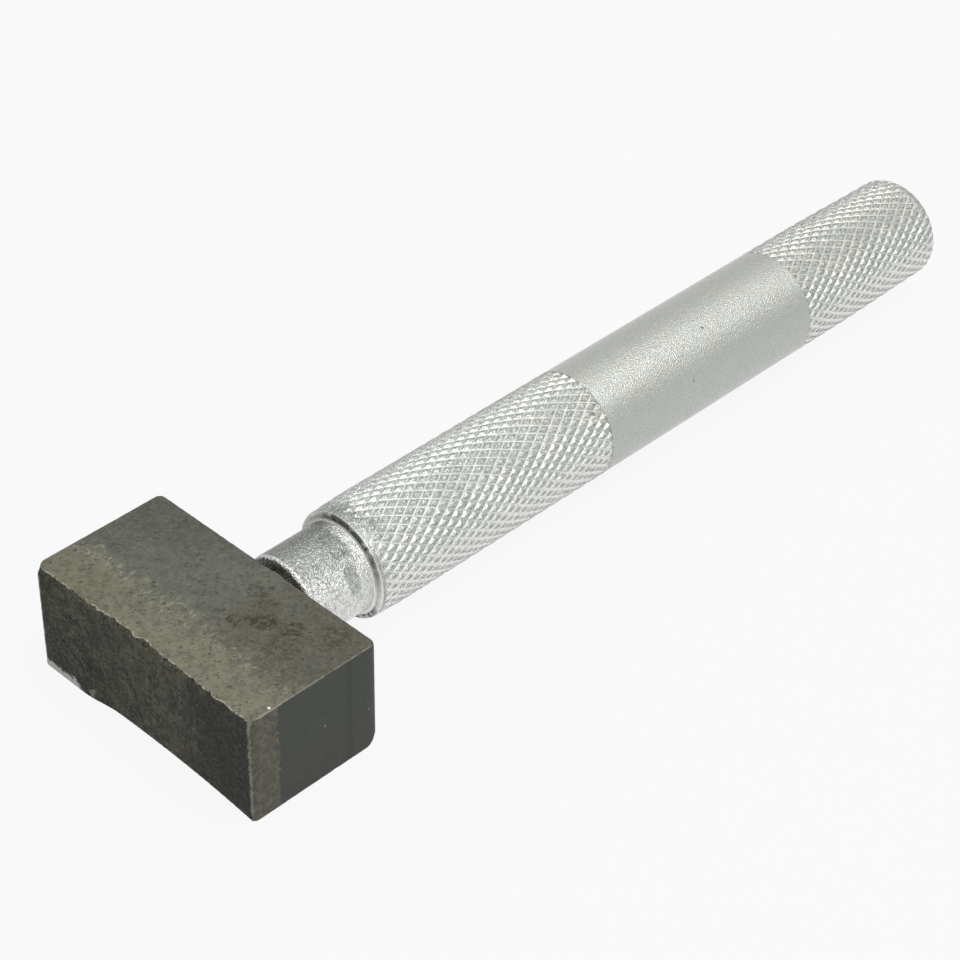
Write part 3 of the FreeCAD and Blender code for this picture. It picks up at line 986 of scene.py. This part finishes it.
class Head(Finish):
    """Masks and patterns that the layer and the block share, so that they run on across the
    bond. Places are in millimetres: across the tool, the station, and up."""

    def __init__(self, name):
        super().__init__(name)
        self.spot = self.place()
        self.across, self.station, self.up = self.parts(self.spot)
        facing = self.parts(self.node("ShaderNodeNewGeometry", output="Normal"))
        self.on_top = between(facing[2], 0.72, 0.88)
        self.on_end = between(abs(facing[0]), 0.6, 0.85)
        self.from_end = HALF - abs(self.across)
        hollow = (1 - self.across * self.across * HALF ** -2) * FACE_HOLLOW
        self.from_face = self.station - hollow
        self.broad = self.cloud(0.26, 3.0)
        self.mottle = self.cloud(0.8, 4.0, 0.6)
        self.grain = self.cloud(2.6, 3.0, 0.6)
        self.sway = self.broad - 0.5
        self.wobble = self.mottle - 0.5

    def cloud(self, *settings):
        return self.clouds(self.spot, *settings)

    def patches(self, places):
        """Marks on the top face, uneven along their edges."""
        return self.marks(self.across, self.station, places, self.wobble) * self.on_top

    def specks(self):
        """Small separate marks that lie askew across the tool."""
        grain = self.clouds(self.heading(self.spot, 45, 1.3, 0.75), 1.7, 1.5, 0.4)
        return between(grain, 0.62, 0.7)

    def scratches(self):
        """Short light strokes along the tool, in a ragged belt over the bond."""
        strokes = 0
        for degrees, seed in ((0, 0.0), (24, 20.0), (-20, 50.0)):
            turned = self.vector("ADD", self.heading(self.spot, degrees, 2.9, 0.8),
                                 (seed, seed, 0))
            strokes = between(self.clouds(turned, 1.0, 2.0, 0.5, 0.6), 0.56, 0.7) + strokes
        distance = abs(self.station - SCRATCHED_STATION + self.sway * 3.4)
        thick = between(self.mottle, 0.36, 0.56)
        return self.limited(strokes) * between(distance, 2.6, 0.6) * thick * self.on_top

    def rust(self):
        """Dark brown crumbs and short curls that crowd in the stains."""
        askew = self.heading(self.spot, 45, 1.25, 0.7)
        curls = abs(self.clouds(askew, 0.8, 1.0, 0.5, 1.6) - 0.5)
        curls = between(curls, 0.06, 0.02)
        crumbs = between(self.clouds(askew, 1.25, 2.0, 0.5, 0.6), 0.46, 0.6)
        worst = self.patches(STAINS)
        faint = self.patches(FAINT_STAINS)
        crumbled = crumbs * (worst * 0.95 + faint * 0.5)
        return self.limited(crumbled + curls * (worst * 0.5 + faint * 0.2))

    def rim(self):
        """1 along the long rims, where the ends meet the top and the underside."""
        from_rim = self.maths("MINIMUM", self.up, HEIGHT - self.up) + self.from_end
        return between(from_rim, 0.3, 0.12)


def top_colour(head):
    """The top's drift from khaki in front to slate at the back, and brown on the right."""
    browned = between(head.cloud(0.6, 4.0, 0.65), 0.5, 0.66)
    front = painted(
        blend(between(head.across, -14.0, 2.0), LAYER_KHAKI, LAYER_KHAKI_LIGHT),
        (browned * 0.3, LAYER_BROWN))
    back = between(head.station - KHAKI_END + head.sway * 9 + head.wobble * 3, -2.5, 2.5)
    warm = (head.cloud(0.17, 2.0) - 0.5) * 14
    shade = between(head.station - head.across * 0.8 + head.sway * 16, 20.0, 32.0)
    stain = between(head.cloud(0.42, 5.0, 0.65), 0.5, 0.7)
    askew = head.heading(head.spot, 60, 1.3, 0.8)
    mauve = between(head.clouds(askew, 0.5, 4.0, 0.65), 0.52, 0.68)
    return painted(
        blend(back, front, STEEL_SLATE),
        (between(head.across + warm, -1.0, 9.0) * back * 0.8, STEEL_BROWN),
        (shade * 0.9, SHADED_STEEL),
        (head.patches(BLUED_PATCHES) * 0.55, STEEL_BLUED),
        (stain * 0.45, STEEL_TAN),
        (mauve * 0.45, STEEL_MAUVE),
        (between(head.mottle, 0.52, 0.36) * 0.42, STEEL_DULL),
        (between(head.mottle, 0.54, 0.7) * 0.25, STEEL_PALE))


def end_colour(head):
    """The ends are slate, with a khaki strip along the working face."""
    ragged = (head.cloud(0.45, 4.0, 0.65) - 0.5) * 2.4
    to_strip = head.station - STRIP_END + ragged
    pits = between(head.cloud(2.2, 3.0, 0.6), 0.5, 0.64)
    strip = painted(
        blend(between(head.mottle, 0.38, 0.62), END_KHAKI, END_KHAKI_LIGHT),
        (pits * 0.6, END_KHAKI_DARK))
    slate = painted(
        blend(between(head.up + head.sway * 10, 11.0, 5.0), END_SLATE, END_SLATE_LOW),
        (between(abs(head.station - END_BAND_STATION), 0.8, 0.2) * 0.35, END_BAND),
        (between(head.station, *PALE_BACK) * 0.4, END_BACK))
    worn = between(head.mottle, 0.35, 0.6) * 0.28 + 0.72
    fringe = between(abs(to_strip - 0.15), 0.4, 0.1) * between(head.mottle, 0.42, 0.58)
    return painted(
        blend(between(to_strip, 0.55, -0.55) * worn, slate, strip),
        (fringe * 0.55, END_FRINGE),
        (head.marks(head.station, head.up, END_DOTS) * head.on_end, END_DOT))


def dressed(head, tone, height):
    """Adds the marks that both halves carry, and the fine grain."""
    plain = 1 - head.on_end * 0.6
    head.surface("Base Color", painted(
        tone,
        (head.rust(), RUST),
        (head.scratches() * 0.6, SCRATCH),
        (head.specks() * head.on_top * 0.66, SPECK),
        # Light, patchy rims where the ends meet the top and the underside: bare wear, and a painted
        # highlight on the rounded edges
        (head.rim() * (between(head.mottle, 0.34, 0.5) * 0.6 + 0.2), BARE_EDGE_AND_HIGHLIGHT),
        # A bare nick on the top's right edge, near white as a painted glint
        (head.patches(NICKS_WITH_GLINTS), BARE_NICK_AND_GLINT),
        (between(head.grain, 0.5, 0.8) * 0.34 * plain, GRAIN_LIGHT),
        (between(head.grain, 0.5, 0.2) * 0.36 * plain, GRAIN_DARK)))
    head.surface("Roughness", head.mottle * 0.22 + 0.5)
    head.surface("Specular IOR Level", 0.2)
    head.surface("Normal", head.relief((height + head.grain * 0.3) * plain, 0.5, 0.05 * MM))


def layer_finish():
    head = Head("sintered_diamond")
    on_front = between(head.from_face, 1.1, 0.8) * (1 - head.on_top)
    front = on_front * between(head.from_end + head.wobble * 0.5, 0.5, 0.68)
    right = between(head.across + head.sway * 14, 7.0, 14.0)
    low_left = between(head.up + head.across * 0.3, 6.0, 2.0) * between(head.across, -6.0, -14.0)
    coarse = head.cloud(0.34, 6.0, 0.7)
    level = coarse * 0.7 + head.mottle * 0.3 - right * 0.06 - low_left * 0.05
    middle = between(abs(head.across - 1.0 + head.sway * 14), 9.0, 3.0)
    brown = between(head.cloud(0.6, 3.0, 0.6, 0.5), 0.54, 0.7)
    below = HEIGHT - head.up + head.wobble * 2.4
    flaked = between(below, 1.9, 0.6) * between(head.across, -19.0, -14.0) * (1 - right * 0.8)
    pits = between(head.cloud(1.3, 3.0, 0.6), 0.47, 0.34)
    flecks = between(head.cloud(1.9, 4.0, 0.65), 0.5, 0.66)
    near_end = between(head.from_end + head.wobble * 3, 2.4, 0.8)
    burr = head.marks(head.across, head.up, BURRS, head.wobble)
    foot = between(head.up + head.wobble * 2.6, 1.3, 1.0)
    foot = foot * between(head.across + head.wobble * 4, -14.0, -15.0)
    face = painted(
        blend(between(level, 0.41, 0.59), FACE_CHARCOAL, FACE_OLIVE),
        (middle * between(head.mottle, 0.4, 0.6) * 0.25, FACE_MIDDLE),
        (right * 0.76 + low_left * 0.2, FACE_DARK),
        (brown * 0.4, FACE_BROWN),
        (flaked * between(head.grain, 0.4, 0.6) * 0.6, LIP_OLIVE),
        (pits * 0.7, FACE_PIT),
        (flecks * 0.5 * (1 - right * 0.7), FACE_FLECK),
        (near_end * 0.45, FACE_EDGE),
        (burr * 0.85, FACE_BURR),
        (foot * 0.9, BARE_METAL))
    corner = on_front * between(head.across, -20.0, -22.0) * between(head.up, 4.2, 2.6)
    worn = between(abs(head.from_end + head.wobble * 0.5 - 0.55), 0.34, 0.12)
    broken = between(head.cloud(0.9, 3.0, 0.6), 0.4, 0.52)
    lip = head.node("ShaderNodeAttribute", {"attribute_name": "lip"}, output="Fac")
    glint = between(head.cloud(1.1, 3.0, 0.6), 0.46, 0.56)
    tone = painted(
        blend(front, end_colour(head), face),
        (corner * between(head.from_end, 0.8, 0.5) * 0.8, BARE_METAL),
        # A broken light line down the rounded upright edges of the working face: wear, and a painted
        # highlight
        (on_front * worn * (broken * 0.6 + 0.15), FACE_RIM_WEAR_AND_HIGHLIGHT),
        (head.on_top, top_colour(head)),
        (between(lip, 0.15, 0.8) * (glint * 0.8 + 0.05), LIP_GLINT))
    grit = head.spots(head.spot, 2.2)
    dressed(head, tone, front * (grit * 0.8 - pits * 2.4 + head.mottle * 3.4))
    return head.material


def block_finish():
    head = Head("dark_steel")
    tone = blend(head.on_top, end_colour(head), top_colour(head))
    mill = head.clouds(head.stretch(head.spot, 0.35, 3.0, 3.0), 1.0, 2.0)
    dressed(head, tone, mill * 0.1)
    return head.material


# Finish of the handle

ZINC = (190, 194, 190)
ZINC_LIGHT = (202, 205, 201)
ZINC_WARM = (202, 199, 180)
ZINC_YELLOWED = (204, 199, 172)
ZINC_HIGHLIGHT = (250, 251, 248)
ZINC_LIGHT_FROM_BELOW = (250, 251, 249)
ZINC_SOFT_HIGHLIGHT = (238, 239, 236)
BAND_GRAY = (180, 183, 178)
KNURL_GRAY = (162, 165, 158)
CREST_GRAY = (140, 143, 137)
ROUGH_GRAY = (128, 131, 125)
NECK_GRAY = (166, 169, 164)
NECK_SHADE = (118, 121, 116)
NECK_LIT_SIDE = (244, 246, 243)
DIRT = (112, 115, 108)
DARK_GRAIN_AND_HOLLOW_SHADE = (104, 107, 102)
DIMPLE_LIGHT = (246, 247, 244)
RING_DARK = (66, 68, 64)
PIT = (84, 84, 78)
GAP_SHADE_BROWN = (96, 88, 72)

# Dirt about the shoulder and pits in the plating, each by its place across and along the tool
# and its reach
STAINED_ZINC = ((-2.4, 39.3, 1.7), (1.0, 39.8, 1.5), (0.2, 34.0, 1.9), (-3.6, 34.9, 2.0),
                (2.7, 34.2, 1.8), (5.7, 34.0, 1.6), (-2.5, 31.0, 1.6))
PITS = ((3.8, 111.1, 0.3), (5.6, 104.6, 0.18), (8.0, 104.7, 0.14), (5.8, 84.1, 0.4))

# Stations where the yellowing, the graying of the knurl and its rough start begin and end
YELLOWED = (60.0, 95.0)
GRAYER = (80.0, 110.0)
ROUGH_START = (43.0, 39.5)
# Painted highlights on the fillet at the neck's foot and on the shoulder's face, each from one
# soft edge to another
FILLET_HIGHLIGHT = ((35.4, 36.3), (37.1, 36.9))
SHOULDER_FACE = ((36.9, 37.1), (37.8, 37.6))
# The dark ring on the shoulder's face, by the square of the distance from the handle's axis
RING_INSIDE = (59.5, 63.0)
RING_OUTSIDE = (76.0, 74.0)


def zinc_finish():
    """Bright zinc: wormy on the neck, with painted shade on its upper side and in the hollows of
    its dimples and painted light on its lower side, grainy elsewhere, with gray crests, painted
    highlights along the knurl's valleys, on the fillet and the rim at the neck's end and on the
    shoulder's face, painted light on the knurl's lower side, painted shade in the gap at the
    stud, and a dark ring on the shoulder."""
    zinc = Finish("zinc_plate")
    place = zinc.place()
    across, station, up = zinc.parts(place)
    height = zinc.node("ShaderNodeAttribute", {"attribute_name": "height"}, output="Fac")
    cloudy = zinc.clouds(place, 0.35, 4.0, 0.6)
    grain = zinc.clouds(place, 4.4, 2.0, 0.6)
    fine = zinc.clouds(place, 5.6, 2.0, 0.6)
    worms = zinc.clouds(place, 1.5, 2.0, 0.5, 1.4)
    broken = between(zinc.clouds(place, 0.9, 3.0, 0.6), 0.4, 0.52)

    def along(start, end):
        """1 between two stations, each given by the ends of its soft edge."""
        return between(station, *start) * between(station, *end)

    neck = between(station, SHOULDER + 0.2, SHOULDER - 0.5)
    band = along((BAND_START, BAND_START + 0.1), (BAND_END, BAND_END - 0.1))
    knurled = (1 - band) * (1 - neck)
    facing_up = between(up, 9.0, 12.0)
    yellowed = between(station, *YELLOWED) * between(cloudy, 0.44, 0.62)
    rough = between(station + (cloudy - 0.5) * 8, *ROUGH_START)
    rough = rough * knurled * between(across, 5.5, 2.5)
    # The floors of the knurl's grooves, where a painted highlight goes
    valley = between(height, 0.3, 0.05) * (1 - rough * 0.8)
    # The knurl's lower side, which gets painted light from below
    underside = between(up, 13.0, 9.0) * knurled
    # The neck's upper side, which gets painted shade
    upper_shade = between(across, 2.0, -4.0) * between(up, 11.0, 13.5)
    dirt = zinc.marks(across, station, STAINED_ZINC, (cloudy - 0.5) * 2) * facing_up
    dimples = (neck * 0.42 + band * 0.12 + knurled * 0.75) * (1 - valley * 0.7)
    # Where the painted highlight lies on the fillet at the neck's foot
    fillet_highlight = along(*FILLET_HIGHLIGHT) * between(across, -4.0, 0.0)
    shoulder = along(*SHOULDER_FACE)
    x, z = across - AXIS_ACROSS, up - AXIS_UP
    out = x * x + z * z
    ring = shoulder * between(out, *RING_INSIDE) * between(out, *RING_OUTSIDE)
    ring = ring * between(across, -6.0, -1.5) * between(across, 8.4, 6.0)
    zinc.surface("Base Color", painted(
        blend(cloudy, ZINC, ZINC_LIGHT),
        (between(cloudy, 0.55, 0.75) * 0.35, ZINC_WARM),
        (yellowed * between(up, 13.0, 16.0) * 0.4, ZINC_YELLOWED),
        (band * 0.6, BAND_GRAY),
        (knurled * (between(station, *GRAYER) * 0.22 + 0.16), KNURL_GRAY),
        (rough * 0.45, ROUGH_GRAY),
        (between(height, 0.65, 0.95) * knurled * 0.45, CREST_GRAY),
        # Painted highlight along the floors of the knurl's grooves
        (valley * (between(cloudy, 0.4, 0.6) * 0.3 + 0.25), ZINC_HIGHLIGHT),
        # Painted light from below on the knurl's lower side, over its grooves and flanks
        (between(height, 0.8, 0.25) * underside * 0.85, ZINC_LIGHT_FROM_BELOW),
        (neck, NECK_GRAY),
        # Painted shade on the neck's upper side and painted light on its lower side
        (upper_shade * neck * 0.9, NECK_SHADE),
        (between(across, 3.0, 6.5) * neck * 0.9, NECK_LIT_SIDE),
        (dirt * 0.5, DIRT),
        (between(fine, 0.5, 0.36) * dimples, DARK_GRAIN_AND_HOLLOW_SHADE),
        (between(fine, 0.52, 0.66) * dimples, DIMPLE_LIGHT),
        # Painted shade in the hollows of the neck's dimples, where the relief is low
        (between(worms, 0.46, 0.36) * neck * 0.35, DARK_GRAIN_AND_HOLLOW_SHADE),
        # Painted highlight on the fillet at the neck's foot
        (fillet_highlight * 0.6, ZINC_SOFT_HIGHLIGHT),
        # Painted highlight on the shoulder's face, brighter towards the lower side
        (shoulder * (between(across, 1.0, 7.0) * 0.5 + 0.3), ZINC_HIGHLIGHT),
        (ring * (broken * 0.5 + 0.4), RING_DARK),
        # Painted highlight on the rounded rim at the neck's end
        (between(station, NECK_END + 0.75, NECK_END + 0.45) * 0.7, ZINC_SOFT_HIGHLIGHT),
        (zinc.marks(across, station, PITS) * facing_up * 0.75, PIT),
        # Painted shade, dark brown, on the stud and the neck's end face in the gap behind the head
        (between(station, NECK_END + 0.1, NECK_END - 0.1) * 0.8, GAP_SHADE_BROWN)))
    zinc.surface("Metallic", 1.0)
    zinc.surface("Roughness", 0.3 - band * 0.09 + knurled * 0.06 + grain * 0.1)
    relief = grain * (1.1 + band * 0.3) + worms * neck * 3.4
    zinc.surface("Normal", zinc.relief(relief, 0.9, 0.1 * MM))
    return zinc.material


for make, node, slot, finish in (
        (add_diamond_layer, "diamond_layer", "sintered_diamond_layer", layer_finish),
        (add_backing_block, "backing_block", "dark_steel_block", block_finish),
        (add_handle, "handle", "zinc_plated_handle", zinc_finish)):
    piece = make()
    smooth(piece)
    piece.data.materials.clear()
    piece.data.materials.append(finish())
    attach(piece, "root")
    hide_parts(node)

bpy.context.scene.view_settings.view_transform = "Standard"
